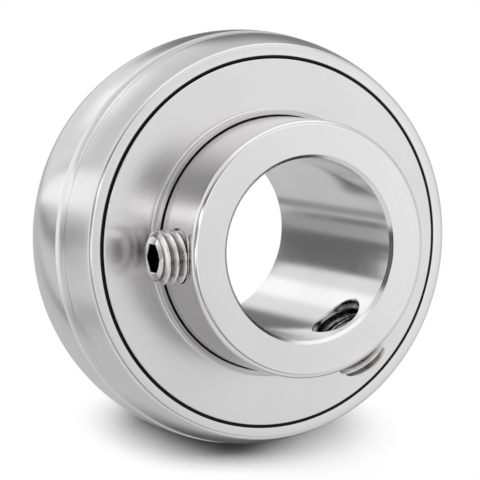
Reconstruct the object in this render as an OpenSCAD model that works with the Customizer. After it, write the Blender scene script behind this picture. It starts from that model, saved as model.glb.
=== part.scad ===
// Insert bearing with a spherical outside and an inner ring that two set screws lock to the shaft.
// The axis is Z, the set-screw end is up, and the origin is the centre of the spherical outside.

/* [Outer ring] */
// Diameter of the spherical outside
outer_d = 47; // [46.5:0.1:49]
// Width between the outer ring's two faces
outer_w = 16; // [15.5:0.1:17]
// Rounding between the spherical outside and each face
outer_edge = 0.5; // [0.4:0.1:0.8]
// Thickness of the outer ring at the bottom of the ball track
outer_wall = 2.751; // [2.6:0.001:3]
// Height of the grease groove above the middle of the outside
groove_z = 3.05; // [2.6:0.05:4]
// Width of the grease groove
groove_w = 2.2; // [1.4:0.1:2.4]
// Depth of the grease groove
groove_depth = 0.25; // [0.15:0.05:0.35]

/* [Inner ring] */
// Thickness of the inner ring between the shaft bore and the bottom of the ball track
inner_wall = 2.751; // [2.6:0.001:3.2]
// Length of the narrow end beyond the back disc
back_stand = 1.1; // [0.4:0.1:2]
// Steel between the set screws' holes and the front end
front_margin = 1.3; // [0.5:0.05:1.5]
// Chamfer round the outside of both ends
end_chamfer = 0.5; // [0.2:0.05:0.5]
// Chamfer at both mouths of the bore
bore_chamfer = 0.5; // [0.2:0.05:0.8]

/* [Balls] */
// Diameter of a ball
ball_d = 7.938; // [7.7:0.001:8.1]
// Height of the shoulders beside the ball track in both rings
shoulder_h = 1.42; // [1.35:0.001:1.7]
// Room for the cage between two balls, along the circle through their centres
ball_gap = 4.9; // [4.7:0.1:5.2]
// How much larger the radius of a track's section is than a ball's
track_open = 0.181; // [0.12:0.001:0.3]
// Running clearance between a ball and each track
track_clear = 0.03; // [0.01:0.01:0.05]

/* [Cage] */
// Thickness of the cage's sheet
cage_sheet = 0.65; // [0.5:0.05:0.8]
// Width of the cage across its band
cage_w = 2.8; // [2.6:0.1:3.2]
// Clearance between a ball and its pocket
pocket_clear = 0.1; // [0.05:0.01:0.15]
// Diameter of a rivet's shank
rivet_d = 1.2; // [1:0.1:1.3]
// Diameter of a rivet's head
rivet_head_d = 2; // [1.8:0.1:2.2]
// Height of a rivet's head
rivet_head_h = 0.5; // [0.3:0.05:0.6]
// Clearance round a rivet's shank
rivet_clear = 0.02; // [0.01:0.01:0.04]

/* [Seals] */
// Width of the step from the outer ring's shoulders to the seat of a seal
seat_step = 1.5; // [1.2:0.1:1.6]
// Depth of that seat below the outer ring's face
seat_depth = 2.45; // [2.3:0.05:2.5]
// Depth of the snap groove beyond the seat's wall
snap_depth = 0.25; // [0.15:0.05:0.3]
// Height of the snap groove above the seat's floor
snap_h = 0.9; // [0.7:0.05:1.1]
// Clearance between a seal's lips and the surface that turns inside them
lip_clear = 0.05; // [0.02:0.01:0.1]
// Width of a seal's two lips
lip_w = 0.7; // [0.6:0.05:0.9]
// Depth of the notch between the two lips
lip_notch = 0.45; // [0.3:0.05:0.55]
// Bevel at the edges of the lips
lip_bevel = 0.3; // [0.1:0.05:0.4]
// Thickness of a seal's web
web_t = 0.8; // [0.6:0.05:0.95]
// Height of the web above the seat's floor
web_rise = 0.35; // [0.2:0.05:0.45]
// Width of the slopes from the web to the seal's rim and lips
web_slope = 0.4; // [0.2:0.05:0.6]
// Clearance between a seal and the disc over it
seal_clear = 0.25; // [0.15:0.05:0.3]
// Depth of a seal's rim below the outer ring's face
rim_drop = 0.05; // [0:0.01:0.15]
// Clearance between a seal's rim and the edge of the disc
rim_clear = 0.08; // [0.05:0.01:0.12]

/* [Flingers] */
// Width of the black ring between a disc and the outer ring
disc_gap = 0.35; // [0.3:0.01:0.5]
// Thickness of a disc's sheet
disc_sheet = 0.6; // [0.5:0.05:0.65]
// Height of a disc above the outer ring's face
disc_proud = 0.15; // [0.1:0.05:0.3]
// Rounding round the edge of a disc
disc_round = 0.12; // [0.06:0.02:0.2]
// Height of the front disc's collar above the disc
collar_h = 1.5; // [1.4:0.05:1.75]
// Opening between the collar's rim and the inner ring
collar_flare = 0.2; // [0.1:0.05:0.3]
// Rounding at the foot of the collar
collar_foot = 0.4; // [0.2:0.05:0.5]
// Length of the back disc's collar, which points inwards
back_collar_h = 1.9; // [1.6:0.05:2.1]

/* [Set screws] */
// Outside diameter of the set screws' thread
screw_d = 6; // [5.5:0.1:6]
// Pitch of the set screws' thread
screw_pitch = 1; // [0.8:0.05:1]
// Length of a set screw
screw_len = 5; // [4.5:0.5:6]
// Gap between the rim of the front collar and the set screws
screw_rise = 0.4; // [0.1:0.05:1]
// Angle between the two set screws
screw_angle = 122; // [60:1:130]
// Height of the first set screw above the inner ring
screw_out_a = 2.8; // [1.5:0.1:3]
// Height of the second set screw above the inner ring
screw_out_b = 2.3; // [0.5:0.1:3]
// Clearance round a set screw in its hole
screw_clear = 0.05; // [0.02:0.01:0.1]
// Width across the flats of the socket
socket_af = 3; // [2.5:0.5:3]
// Depth of the socket
socket_depth = 2.2; // [1.5:0.1:2.8]
// Diameter of the cup at a set screw's point
cup_d = 3; // [2.5:0.1:3.5]
// Depth of that cup
cup_depth = 0.5; // [0.3:0.1:0.9]

/* [Hidden] */
$fn = 96;
// How far a cutting shape runs past the surface that it cuts
past = 1;
face_z = outer_w / 2;
outer_r = outer_d / 2;
ball_r = ball_d / 2;
track_r = ball_r + track_open;

// The bottoms of the two tracks, then the circle through the balls' centres
outer_bottom = outer_r - outer_wall;
pitch_r = outer_bottom - track_clear - ball_r;
inner_bottom = pitch_r - ball_r - track_clear;
outer_track_r = outer_bottom - track_r;
inner_track_r = inner_bottom + track_r;
land_r = outer_bottom - shoulder_h;
inner_r = inner_bottom + shoulder_h;
bore_r = inner_bottom - inner_wall;

// As many balls as the circle has room for
ball_n = floor(2 * PI * pitch_r / (ball_d + ball_gap));
ball_step = 360 / ball_n;

seat_r = land_r + seat_step;
seat_z = face_z - seat_depth;

disc_r = seat_r - disc_gap;
disc_top = face_z + disc_proud;
disc_under = disc_top - disc_sheet;
collar_out = inner_r + disc_sheet;
collar_top = disc_top + collar_h;
collar_round = disc_sheet / 3;

pocket_r = ball_r + pocket_clear;
cage_in = pitch_r - cage_w / 2;
cage_out = pitch_r + cage_w / 2;
cage_top = pocket_r + cage_sheet;
rivet_hole_r = rivet_d / 2 + rivet_clear;

screw_hole_r = screw_d / 2;
screw_r = screw_hole_r - screw_clear;
screw_z = collar_top + screw_rise + screw_r;
front_len = screw_z + screw_hole_r + front_margin;
back_len = disc_top + back_stand;
screw_bevel = screw_pitch / 2;
screw_a_turn = 180;
screw_b_turn = screw_a_turn + screw_angle;

steel = "#c9c9cb";
track_steel = "#d6d6d8";
ball_steel = "#dededf";
screw_steel = "#b5b5b7";
rubber = "#141414";

// Points of an arc round (cx, cy) from angle a0 to angle a1 in n steps
function arc(cx, cy, r, a0, a1, n = 6) =
    [for (i = [0:n]) [cx + r * cos(a0 + (a1 - a0) * i / n), cy + r * sin(a0 + (a1 - a0) * i / n)]];

// The same section on the other side of the bearing's middle
function other_side(points) = [for (p = points) [p[0], -p[1]]];

// The outer ring's outside, cut off at its faces, with rounded corners
round_z = face_z - outer_edge;
round_r = sqrt(pow(outer_r - outer_edge, 2) - pow(round_z, 2));
round_end = atan2(round_z, round_r);
corner_up = arc(round_r, round_z, outer_edge, round_end, 90);
corner_down = [for (i = [len(corner_up) - 1:-1:0]) [corner_up[i][0], -corner_up[i][1]]];
outline = concat([[0, -face_z]], corner_down,
    [[outer_r + past, -round_z / 2], [outer_r + past, round_z / 2]], corner_up, [[0, face_z]]);

// A shallow round groove needs this radius to have its width and depth
groove_r = (pow(groove_w / 2, 2) + pow(groove_depth, 2)) / (2 * groove_depth);
groove_centre = sqrt(pow(outer_r, 2) - pow(groove_z, 2)) - groove_depth + groove_r;

module track(centre_r) {
    rotate_extrude() translate([centre_r, 0]) circle(track_r);
}

module seal_seat() {
    translate([0, 0, seat_z]) cylinder(r = seat_r, h = seat_depth + past);
    translate([0, 0, seat_z]) cylinder(r = seat_r + snap_depth, h = snap_h);
}

module outer_ring() {
    color(steel) difference() {
        intersection() {
            sphere(outer_r);
            rotate_extrude() polygon(outline);
        }
        translate([0, 0, -face_z - past]) cylinder(r = land_r, h = outer_w + 2 * past);
        track(outer_track_r);
        seal_seat();
        mirror([0, 0, 1]) seal_seat();
        rotate_extrude() translate([groove_centre, groove_z]) circle(groove_r);
    }
}

module screw_hole(turn) {
    rotate([0, 0, turn]) translate([bore_r - past, 0, screw_z])
        rotate([0, 90, 0]) cylinder(r = screw_hole_r, h = inner_r - bore_r + 2 * past);
}

module inner_ring() {
    section = [
        [bore_r + bore_chamfer, -back_len], [inner_r - end_chamfer, -back_len],
        [inner_r, -back_len + end_chamfer], [inner_r, front_len - end_chamfer],
        [inner_r - end_chamfer, front_len], [bore_r + bore_chamfer, front_len],
        [bore_r, front_len - bore_chamfer], [bore_r, -back_len + bore_chamfer]
    ];
    color(track_steel) difference() {
        rotate_extrude() polygon(section);
        track(inner_track_r);
        screw_hole(screw_a_turn);
        screw_hole(screw_b_turn);
    }
}

module at_ball(i) {
    rotate([0, 0, (i - 0.5) * ball_step]) translate([pitch_r, 0, 0]) children();
}

module at_rivet(i) {
    rotate([0, 0, i * ball_step]) translate([pitch_r, 0, 0]) children();
}

module ball(i) {
    color(ball_steel) at_ball(i) sphere(ball_r);
}

// One half of the cage: a flat band with a pocket over each ball
module cage_half() {
    color(screw_steel) difference() {
        intersection() {
            union() {
                cylinder(r = cage_out, h = cage_sheet);
                for (i = [1:ball_n]) at_ball(i) sphere(cage_top);
            }
            difference() {
                cylinder(r = cage_out, h = cage_top + past);
                translate([0, 0, -past]) cylinder(r = cage_in, h = cage_top + 3 * past);
            }
        }
        for (i = [1:ball_n]) at_ball(i) sphere(pocket_r);
        for (i = [1:ball_n]) at_rivet(i) translate([0, 0, -past])
            cylinder(r = rivet_hole_r, h = cage_sheet + 2 * past);
    }
}

module cage_front() {
    cage_half();
}

module cage_back() {
    mirror([0, 0, 1]) cage_half();
}

// A rivet: a shank through both halves of the cage and a low domed head at each end
module rivet(i) {
    head_r = rivet_head_d / 2;
    dome_r = (pow(head_r, 2) + pow(rivet_head_h, 2)) / (2 * rivet_head_h);
    dome_z = cage_sheet + rivet_head_h - dome_r;
    dome_start = asin((cage_sheet - dome_z) / dome_r);
    head = arc(0, dome_z, dome_r, dome_start, 90, 5);
    half = concat([[rivet_d / 2, 0], [rivet_d / 2, cage_sheet]], head);
    lower = [for (k = [len(half) - 1:-1:1]) [half[k][0], -half[k][1]]];
    color(ball_steel) at_rivet(i) rotate_extrude() polygon(concat(lower, half));
}

// A rubber seal held in the outer ring. Its two lips run on a surface of radius run_r.
module seal(run_r) {
    lip_r = run_r + lip_clear;
    rim_in = disc_r + rim_clear;
    body_top = disc_under - seal_clear;
    web_low = seat_z + web_rise;
    web_top = web_low + web_t;
    lip_root = lip_r + lip_w;
    lip_mid = (seat_z + body_top) / 2;
    bead = [
        [land_r, seat_z], [seat_r + snap_depth, seat_z], [seat_r + snap_depth, seat_z + snap_h],
        [seat_r, seat_z + snap_h], [seat_r, face_z - rim_drop], [rim_in, face_z - rim_drop],
        [rim_in, body_top], [land_r, body_top]
    ];
    lips = [
        [lip_root, body_top], [lip_r + lip_bevel, body_top], [lip_r, body_top - lip_bevel],
        [lip_r + lip_notch, lip_mid], [lip_r, seat_z + lip_bevel], [lip_r + lip_bevel, seat_z],
        [lip_root, seat_z]
    ];
    section = concat(bead, [[land_r - web_slope, web_top], [lip_root + web_slope, web_top]], lips,
        [[lip_root + web_slope, web_low], [land_r - web_slope, web_low]]);
    color(rubber) rotate_extrude() polygon(section);
}

module seal_front() {
    seal(inner_r);
}

module seal_back() {
    mirror([0, 0, 1]) seal(collar_out);
}

// The front disc: flat sheet out to the black ring, with its collar turned up along the inner ring
module flinger_front() {
    edge = arc(disc_r - disc_round, disc_top - disc_round, disc_round, 0, 90, 3);
    foot = arc(collar_out + collar_foot, disc_top + collar_foot, collar_foot, 270, 180);
    rim_in = inner_r + collar_flare;
    rim_out = collar_out + collar_flare;
    rim = arc(rim_out - collar_round, collar_top - collar_round, collar_round, 0, 90, 4);
    bend = arc(collar_out, disc_under + disc_sheet, disc_sheet, 180, 270);
    section = concat([[disc_r, disc_under]], edge, foot, rim,
        [[rim_in + collar_round / 2, collar_top], [rim_in, collar_top - collar_round / 2],
        [inner_r, collar_top - collar_h / 2]], bend);
    color(steel) rotate_extrude() polygon(section);
}

// The back disc: the same sheet, with a short collar turned in towards the balls
module flinger_back() {
    edge = arc(disc_r - disc_round, disc_top - disc_round, disc_round, 0, 90, 3);
    bend = arc(collar_out, disc_under, disc_sheet, 90, 180);
    section = concat([[disc_r, disc_under]], edge, bend,
        [[inner_r, disc_under - back_collar_h], [collar_out, disc_under - back_collar_h],
        [collar_out, disc_under]]);
    color(steel) rotate_extrude() polygon(other_side(section));
}

// A set screw along +X: its socket faces outwards and its cup points at the shaft
module set_screw(turn, out) {
    tip = inner_r + out - screw_len;
    core = screw_r - screw_bevel;
    section = [
        [0, cup_depth], [cup_d / 2, 0], [core, 0], [screw_r, screw_bevel],
        [screw_r, screw_len - screw_bevel], [core, screw_len], [0, screw_len]
    ];
    color(screw_steel) rotate([0, 0, turn]) translate([tip, 0, screw_z]) rotate([0, 90, 0]) difference() {
        rotate_extrude() polygon(section);
        translate([0, 0, screw_len - socket_depth])
            cylinder(r = socket_af / sqrt(3), h = socket_depth + past, $fn = 6);
    }
}

module set_screw_a() {
    set_screw(screw_a_turn, screw_out_a);
}

module set_screw_b() {
    set_screw(screw_b_turn, screw_out_b);
}

outer_ring();
inner_ring();
for (i = [1:ball_n]) ball(i);
cage_front();
cage_back();
for (i = [1:ball_n]) rivet(i);
seal_front();
seal_back();
flinger_front();
flinger_back();
set_screw_a();
set_screw_b();
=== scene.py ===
"""Looks of an insert bearing: satin steel rings, pressed discs, rubber seals and threaded set screws.

Every size below is in millimetres in the bearing's own frame: Z is the bore's axis with the set-screw end
up, and the origin is the centre of the spherical outside. Meshes are turned into metres when they are made.
"""

import logging
import math
from dataclasses import dataclass, field
from enum import Enum
from functools import cache
from typing import Sequence

import bpy
import numpy as np
from mathutils import Matrix, Vector

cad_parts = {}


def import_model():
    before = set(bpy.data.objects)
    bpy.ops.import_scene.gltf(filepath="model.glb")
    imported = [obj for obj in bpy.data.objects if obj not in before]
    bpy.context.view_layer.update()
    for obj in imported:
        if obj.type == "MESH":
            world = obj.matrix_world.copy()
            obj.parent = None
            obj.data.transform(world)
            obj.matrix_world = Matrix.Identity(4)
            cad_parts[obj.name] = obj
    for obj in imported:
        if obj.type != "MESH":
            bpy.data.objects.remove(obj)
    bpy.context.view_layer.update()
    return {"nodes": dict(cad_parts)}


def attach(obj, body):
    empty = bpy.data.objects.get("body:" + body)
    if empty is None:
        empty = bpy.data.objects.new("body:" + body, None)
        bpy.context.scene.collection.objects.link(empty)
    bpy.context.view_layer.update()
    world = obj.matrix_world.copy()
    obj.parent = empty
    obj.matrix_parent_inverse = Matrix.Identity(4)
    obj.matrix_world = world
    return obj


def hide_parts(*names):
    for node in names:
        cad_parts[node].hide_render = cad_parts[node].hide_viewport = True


LOG = logging.getLogger("bearing")
MM = 0.001
FULL_TURN = 2 * math.pi
# Mesh attribute: edge wear above zero, and painted shade in recesses, threads and gaps below zero.
WEAR_AND_SHADE_ATTRIBUTE = "edge"

# Points that round to the same place on a grid of this many millimetres are one point.
WELD_GRID = 1e-5

# The inner ring: its bore, its outside, and the z of the narrow end that the bearing stands on.
BORE_RADIUS = 10.0
INNER_OUTSIDE = 14.171
NARROW_END = -9.25

# The ball tracks' circle, and the outer ring's land between its track and a seal.
TRACK_RADIUS = 4.15
LAND_RADIUS = 19.329

# A seal's seat: its wall, how far and how high its snap groove cuts into that, and the z of its floor.
SEAT_RADIUS = 20.829
SEAT_SNAP = 0.25
SNAP_HEIGHT = 0.9
SEAT_Z = 5.55

# The discs' sheet.
SHEET = 0.6

# The z of the tapped holes, and their angles in degrees from +X towards +Y.
SCREW_Z = 13.0
SCREW_TURNS = (180.0, 302.0)

Array = np.ndarray
Socket = bpy.types.NodeSocket


class Side(Enum):
    """Which side of the bearing's middle a piece is on."""

    FRONT = 1
    BACK = -1


class Grain(Enum):
    """How a steel surface was made, as (marks per mm across the lay, waves round one turn)."""

    TURNED = (7.0, 1.2)
    GROUND = (10.0, 2.0)
    PRESSED = (4.0, 3.0)
    ROLLED = (3.0, 6.0)


# Surfaces


@dataclass
class Skin:
    """A surface in millimetres.

    Args:
        points: Vertex positions, one row each.
        faces: Four vertex numbers a face, counter-clockwise seen from outside.
        normals: Exact normals, or zeros where the faces round a vertex give it.
        edges: 1 on the rounding of an edge, for its wear, 0 on a face, and down to -1 for painted shade deep
        in a thread, socket or gap.
    """

    points: Array
    faces: Array
    normals: Array
    edges: Array

    def flipped(self) -> "Skin":
        """Returns the surface mirrored in z, with its faces turned to point outwards again."""
        across = np.array([1.0, 1.0, -1.0])
        return Skin(self.points * across, self.faces[:, ::-1], self.normals * across, self.edges)

    def turned(self, degrees: float) -> "Skin":
        """Returns the surface turned round Z: x and y become x cos a - y sin a and x sin a + y cos a."""
        a = math.radians(degrees)
        spin = np.array([[math.cos(a), math.sin(a), 0], [-math.sin(a), math.cos(a), 0], [0, 0, 1]])
        return Skin(self.points @ spin, self.faces, self.normals @ spin, self.edges)


def unit(rows: Array) -> Array:
    """Returns each row divided by its length, and rows of no length as they are."""
    length = np.linalg.norm(rows, axis=-1, keepdims=True)
    return rows / np.where(length > 0, length, 1.0)


def arc(centre: tuple[float, float], radius: float, start: float, end: float, steps: int) -> Array:
    """Points of an arc: centre plus radius times (cosine, sine) of evenly spaced angles.

    Args:
        centre: The arc's centre as (r, z).
        radius: The arc's radius.
        start: First angle in degrees.
        end: Last angle in degrees.
        steps: Number of equal parts.

    Returns:
        One row (r, z, rounding 0) a point.
    """
    a = np.radians(np.linspace(start, end, steps + 1))
    zero = np.zeros_like(a)
    return np.stack([centre[0] + radius * np.cos(a), centre[1] + radius * np.sin(a), zero], axis=1)


def rounded(corners: Array, steps: int = 4, closed: bool = True) -> Array:
    """Rounds the corners of a section.

    A corner that turns by an angle t is replaced by an arc of the asked radius, which starts and ends at
    radius times tan(t / 2) from the corner. Its points are the arc's centre plus the radius turned by equal
    parts of t. A corner with no radius stays one point.

    Args:
        corners: Rows (r, z, rounding radius), counter-clockwise for a solid.
        steps: Parts of each rounding.
        closed: Whether the last corner joins the first.

    Returns:
        Rows (r, z, 1 on a rounding or 0).
    """
    place, radius = corners[:, :2], corners[:, 2:]
    incoming = unit(place - np.roll(place, 1, axis=0))
    outgoing = unit(np.roll(place, -1, axis=0) - place)
    if not closed:
        radius = radius * np.r_[0.0, np.ones(len(place) - 2), 0.0][:, None]
    cross = incoming[:, 0] * outgoing[:, 1] - incoming[:, 1] * outgoing[:, 0]
    turn = np.arctan2(cross, (incoming * outgoing).sum(axis=1))[:, None]
    left = np.stack([-incoming[:, 1], incoming[:, 0]], axis=1)
    back = radius * np.tan(np.abs(turn) / 2)
    reach = radius * np.sign(turn)
    centre = place - incoming * back + left * reach
    part = turn * np.linspace(0, 1, steps + 1)[None, :]
    cos, sin = np.cos(part)[..., None], np.sin(part)[..., None]
    across = np.stack([-left[:, 1], left[:, 0]], axis=1)
    spoke = left[:, None, :] * cos + across[:, None, :] * sin
    points = centre[:, None, :] - spoke * reach[:, None, :]
    soft = np.broadcast_to((radius > 0).astype(float)[:, None, :], points.shape[:2] + (1,))
    rows = np.concatenate([points, soft], axis=2).reshape(-1, 3)
    after = np.roll(rows, -1, axis=0)
    keep = np.linalg.norm(after[:, :2] - rows[:, :2], axis=1) > WELD_GRID
    if not closed:
        keep[-1] = True
    return rows[keep]


def section_normals(section: Array, closed: bool) -> Array:
    """Outward normals of a section.

    A side's normal is its direction turned right, and a point's is the mean of its two sides' normals, each
    weighed by the square of its length, so that a flat face stays flat up to its rounding.

    Args:
        section: Rows that start with (r, z), counter-clockwise.
        closed: Whether the last point joins the first.

    Returns:
        Rows (normal r, normal z).
    """
    along = np.roll(section[:, :2], -1, axis=0) - section[:, :2]
    side = np.stack([along[:, 1], -along[:, 0]], axis=1) * np.linalg.norm(along, axis=1)[:, None]
    if not closed:
        side[-1] = 0.0
    return unit(side + np.roll(side, 1, axis=0))


def grid_faces(rows: int, columns: int, wrap_rows: bool, wrap_columns: bool) -> Array:
    """Faces of a grid: point (i, j), its neighbour in j, the one diagonal to it, and its neighbour in i.

    Args:
        rows: Number of rows of points.
        columns: Number of points in a row.
        wrap_rows: Whether the last row joins the first.
        wrap_columns: Whether a row's last point joins its first.

    Returns:
        Four point numbers a face.
    """
    i = np.arange(rows if wrap_rows else rows - 1)[:, None]
    j = np.arange(columns if wrap_columns else columns - 1)[None, :]
    i2, j2 = (i + 1) % rows, (j + 1) % columns
    corners = [i * columns + j, i * columns + j2, i2 * columns + j2, i2 * columns + j]
    return np.stack([np.broadcast_to(c, (i.shape[0], j.shape[1])) for c in corners], axis=-1).reshape(-1, 4)


def revolve(section: Array, columns: int, closed: bool = True, arcs: Sequence[tuple[int, int]] = ()) -> Skin:
    """Turns a section round Z: point (r, z) at angle a becomes (r cos a, r sin a, z).

    Args:
        section: Rows (r, z, edge), counter-clockwise.
        columns: Points round a full turn.
        closed: Whether the section is a closed loop.
        arcs: Ranges of columns to cover, or none for the full turn.

    Returns:
        The surface, with exact normals.
    """
    normal = section_normals(section, closed)
    a = np.arange(columns) * FULL_TURN / columns
    cos, sin = np.cos(a)[None, :], np.sin(a)[None, :]
    points = np.stack([section[:, :1] * cos, section[:, :1] * sin, section[:, 1:2] + 0 * cos], axis=-1)
    normals = np.stack([normal[:, :1] * cos, normal[:, :1] * sin, normal[:, 1:] + 0 * cos], axis=-1)
    edges = np.broadcast_to(section[:, 2:3], points.shape[:2])
    faces = grid_faces(len(section), columns, closed, True)
    if arcs:
        column = faces[:, 0] % columns
        inside = np.zeros(len(faces), bool)
        for first, last in arcs:
            inside |= (column - first) % columns < (last - first)
        faces = faces[inside]
    return Skin(points.reshape(-1, 3), faces, normals.reshape(-1, 3), edges.reshape(-1).copy())


def loft(rows: Array, edges: Array) -> Skin:
    """A surface through rows of points, each row a closed ring, with normals left to its faces.

    Args:
        rows: Positions, shape (rows, points in a ring, 3).
        edges: Edge wear and painted shade values, one a row or one a point.

    Returns:
        The surface.
    """
    count, around = rows.shape[:2]
    spread = np.broadcast_to(edges.reshape(count, -1), (count, around)).reshape(-1).copy()
    faces = grid_faces(count, around, False, True)
    return Skin(rows.reshape(-1, 3), faces, np.zeros((count * around, 3)), spread)


def joined(skins: Sequence[Skin]) -> Skin:
    """Puts surfaces together and merges points that lie in the same place.

    Args:
        skins: The surfaces.

    Returns:
        One surface. Its faces may still name a point twice, where an edge has closed to a point.
    """
    starts = np.cumsum([0] + [len(s.points) for s in skins[:-1]])
    points = np.concatenate([s.points for s in skins])
    faces = np.concatenate([s.faces + start for s, start in zip(skins, starts)])
    normals = np.concatenate([s.normals for s in skins])
    edges = np.concatenate([s.edges for s in skins])
    keys = np.round(points / WELD_GRID).astype(np.int64)
    _, first, group = np.unique(keys, axis=0, return_index=True, return_inverse=True)
    group = group.reshape(-1)
    summed = np.zeros((len(first), 3))
    np.add.at(summed, group, normals)
    kept = np.full(len(first), -1.0)
    np.maximum.at(kept, group, edges)
    return Skin(points[first], group[faces], unit(summed), kept)


def vertex_normals(points: Array, faces: Array) -> Array:
    """Normals from faces: the sum of each face's normal times the square of its area.

    Args:
        points: Positions.
        faces: Four point numbers a face, of which two may be the same.

    Returns:
        One unit normal a point.
    """
    p = points[faces]
    area = np.cross(p[:, 2] - p[:, 0], p[:, 3] - p[:, 1])
    weight = area * np.linalg.norm(area, axis=1, keepdims=True)
    total = np.zeros_like(points)
    for corner in range(4):
        np.add.at(total, faces[:, corner], weight)
    return unit(total)


def make_piece(name: str, skins: Sequence[Skin]) -> bpy.types.Object:
    """Makes one Blender object from surfaces, in metres, smooth, with its normals and its attribute of edge
    wear and painted shade.

    Args:
        name: The piece's name.
        skins: Its surfaces, which meet without gaps.

    Returns:
        The object, at the origin.
    """
    skin = joined(skins)
    known = np.linalg.norm(skin.normals, axis=1) > 0.5
    normals = np.where(known[:, None], skin.normals, vertex_normals(skin.points, skin.faces))
    doubled = skin.faces == np.roll(skin.faces, -1, axis=1)
    repeats = doubled.sum(axis=1)
    quads = skin.faces[repeats == 0]
    short = skin.faces[repeats == 1]
    keep = ~doubled[repeats == 1]
    thirds = short[keep].reshape(-1, 3)
    used, renumbered = np.unique(np.concatenate([quads.ravel(), thirds.ravel()]), return_inverse=True)
    renumbered = renumbered.reshape(-1)
    quads, thirds = renumbered[: quads.size].reshape(-1, 4), renumbered[quads.size:].reshape(-1, 3)
    mesh = bpy.data.meshes.new(name)
    mesh.from_pydata((skin.points[used] * MM).tolist(), [], quads.tolist() + thirds.tolist())
    edge = mesh.attributes.new(WEAR_AND_SHADE_ATTRIBUTE, "FLOAT", "POINT")
    edge.data.foreach_set("value", skin.edges[used].astype(np.float32))
    mesh.polygons.foreach_set("use_smooth", np.ones(len(mesh.polygons), bool))
    mesh.normals_split_custom_set_from_vertices(normals[used].tolist())
    mesh.update()
    piece = bpy.data.objects.new(name, mesh)
    bpy.context.scene.collection.objects.link(piece)
    LOG.info("%s: %d points, %d faces", name, len(mesh.vertices), len(mesh.polygons))
    return piece


# Node building


class Nodes:
    """Short calls that add nodes to one tree.

    Args:
        tree: The node tree of a material, world or group.
    """

    def __init__(self, tree: bpy.types.NodeTree) -> None:
        """Keeps the tree and clears it."""
        self.tree = tree
        tree.nodes.clear()

    def add(self, kind: str, inputs: dict | None = None, **settings: object) -> bpy.types.Node:
        """Adds a node.

        Args:
            kind: The node's bl_idname.
            inputs: Values or sockets by input name or number.
            settings: The node's own properties.

        Returns:
            The node.
        """
        node = self.tree.nodes.new(kind)
        for name, value in settings.items():
            setattr(node, name, value)
        for name, value in (inputs or {}).items():
            if isinstance(value, bpy.types.NodeSocket):
                self.tree.links.new(value, node.inputs[name])
            else:
                node.inputs[name].default_value = value
        return node

    def math(self, operation: str, *values: object) -> Socket:
        """Adds a Math node and returns its output."""
        return self.add("ShaderNodeMath", dict(enumerate(values)), operation=operation).outputs[0]

    def vector(self, operation: str, *values: object, output: str = "Vector") -> Socket:
        """Adds a Vector Math node and returns the named output."""
        return self.add("ShaderNodeVectorMath", dict(enumerate(values)), operation=operation).outputs[output]

    def span(
        self, value: object, low: object, high: object, start: object = 0.0, end: object = 1.0
    ) -> Socket:
        """Adds a smooth Map Range node, which goes from start to end as value goes from low to high."""
        inputs = {"Value": value, "From Min": low, "From Max": high, "To Min": start, "To Max": end}
        node = self.add("ShaderNodeMapRange", inputs, interpolation_type="SMOOTHSTEP", clamp=True)
        return node.outputs["Result"]

    def band(self, value: Socket, rise: tuple[object, object], fall: tuple[object, object]) -> Socket:
        """Adds a mask that goes smoothly from 0 to 1 over rise and back to 0 over fall."""
        return self.math("MULTIPLY", self.span(value, *rise), self.span(value, *fall, 1.0, 0.0))

    def mix(self, share: object, first: object, second: object) -> Socket:
        """Adds a colour Mix node, which gives first at share 0 and second at share 1."""
        node = self.add("ShaderNodeMix", {0: share, 6: first, 7: second}, data_type="RGBA")
        return node.outputs[2]

    def blend(self, share: Socket, first: Socket, second: Socket) -> Socket:
        """Adds a Mix Shader node, which gives first at share 0 and second at share 1."""
        return self.add("ShaderNodeMixShader", {0: share, 1: first, 2: second}).outputs[0]

    def noise(self, place: Socket, scale: Socket, detail: float) -> Socket:
        """Adds a Noise Texture node and returns its height."""
        inputs = {"Vector": place, "Scale": scale, "Detail": detail}
        return self.add("ShaderNodeTexNoise", inputs).outputs["Fac"]

    def bump(self, height: Socket, distance: float, strength: float = 1.0, **below: Socket) -> Socket:
        """Adds a Bump node with its distance in mm, over the Normal of a node below if one is given."""
        inputs = {"Height": height, "Strength": strength, "Distance": distance * MM, **below}
        return self.add("ShaderNodeBump", inputs).outputs[0]

    def group(self, tree: bpy.types.NodeTree, **values: object) -> bpy.types.Node:
        """Adds a group node. An underscore in a value's name stands for a space in the socket's."""
        inputs = {name.replace("_", " "): value for name, value in values.items()}
        return self.add("ShaderNodeGroup", inputs, node_tree=tree)

    def surface(self, shader: Socket) -> None:
        """Adds the material's output and gives it the shader."""
        self.add("ShaderNodeOutputMaterial", {"Surface": shader})


def new_material(name: str) -> tuple[bpy.types.Material, Nodes]:
    """Returns a new material and its empty nodes."""
    made = bpy.data.materials.new(name)
    made.use_nodes = True
    return made, Nodes(made.node_tree)


class EffectGroup:
    """A shader node group with named sockets.

    The function that builds each kind is cached, so that it is built once and all materials share it.
    """

    def __init__(self, name: str, inputs: dict[str, tuple[str, object]], outputs: dict[str, str]) -> None:
        """Makes the group with its named sockets.

        Args:
            name: The group's name.
            inputs: Socket kind and value by input name.
            outputs: Socket kind by output name.
        """
        self.tree = bpy.data.node_groups.new(name, "ShaderNodeTree")
        for label, (kind, value) in inputs.items():
            socket = self.tree.interface.new_socket(label, in_out="INPUT", socket_type=kind)
            socket.default_value = value
        for label, kind in outputs.items():
            self.tree.interface.new_socket(label, in_out="OUTPUT", socket_type=kind)
        self.nodes = Nodes(self.tree)
        self.source = self.nodes.add("NodeGroupInput").outputs
        self.result = self.nodes.add("NodeGroupOutput").inputs

    def send(self, label: str, value: Socket) -> None:
        """Links a value to the named output."""
        self.tree.links.new(value, self.result[label])


FLOAT, COLOUR, VECTOR = "NodeSocketFloat", "NodeSocketColor", "NodeSocketVector"

# Heights of the noise between which a mask goes from 0 to 1.
LAY_ENDS = (0.35, 0.65)
GRAIN_ENDS = (0.3, 0.7)


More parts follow.
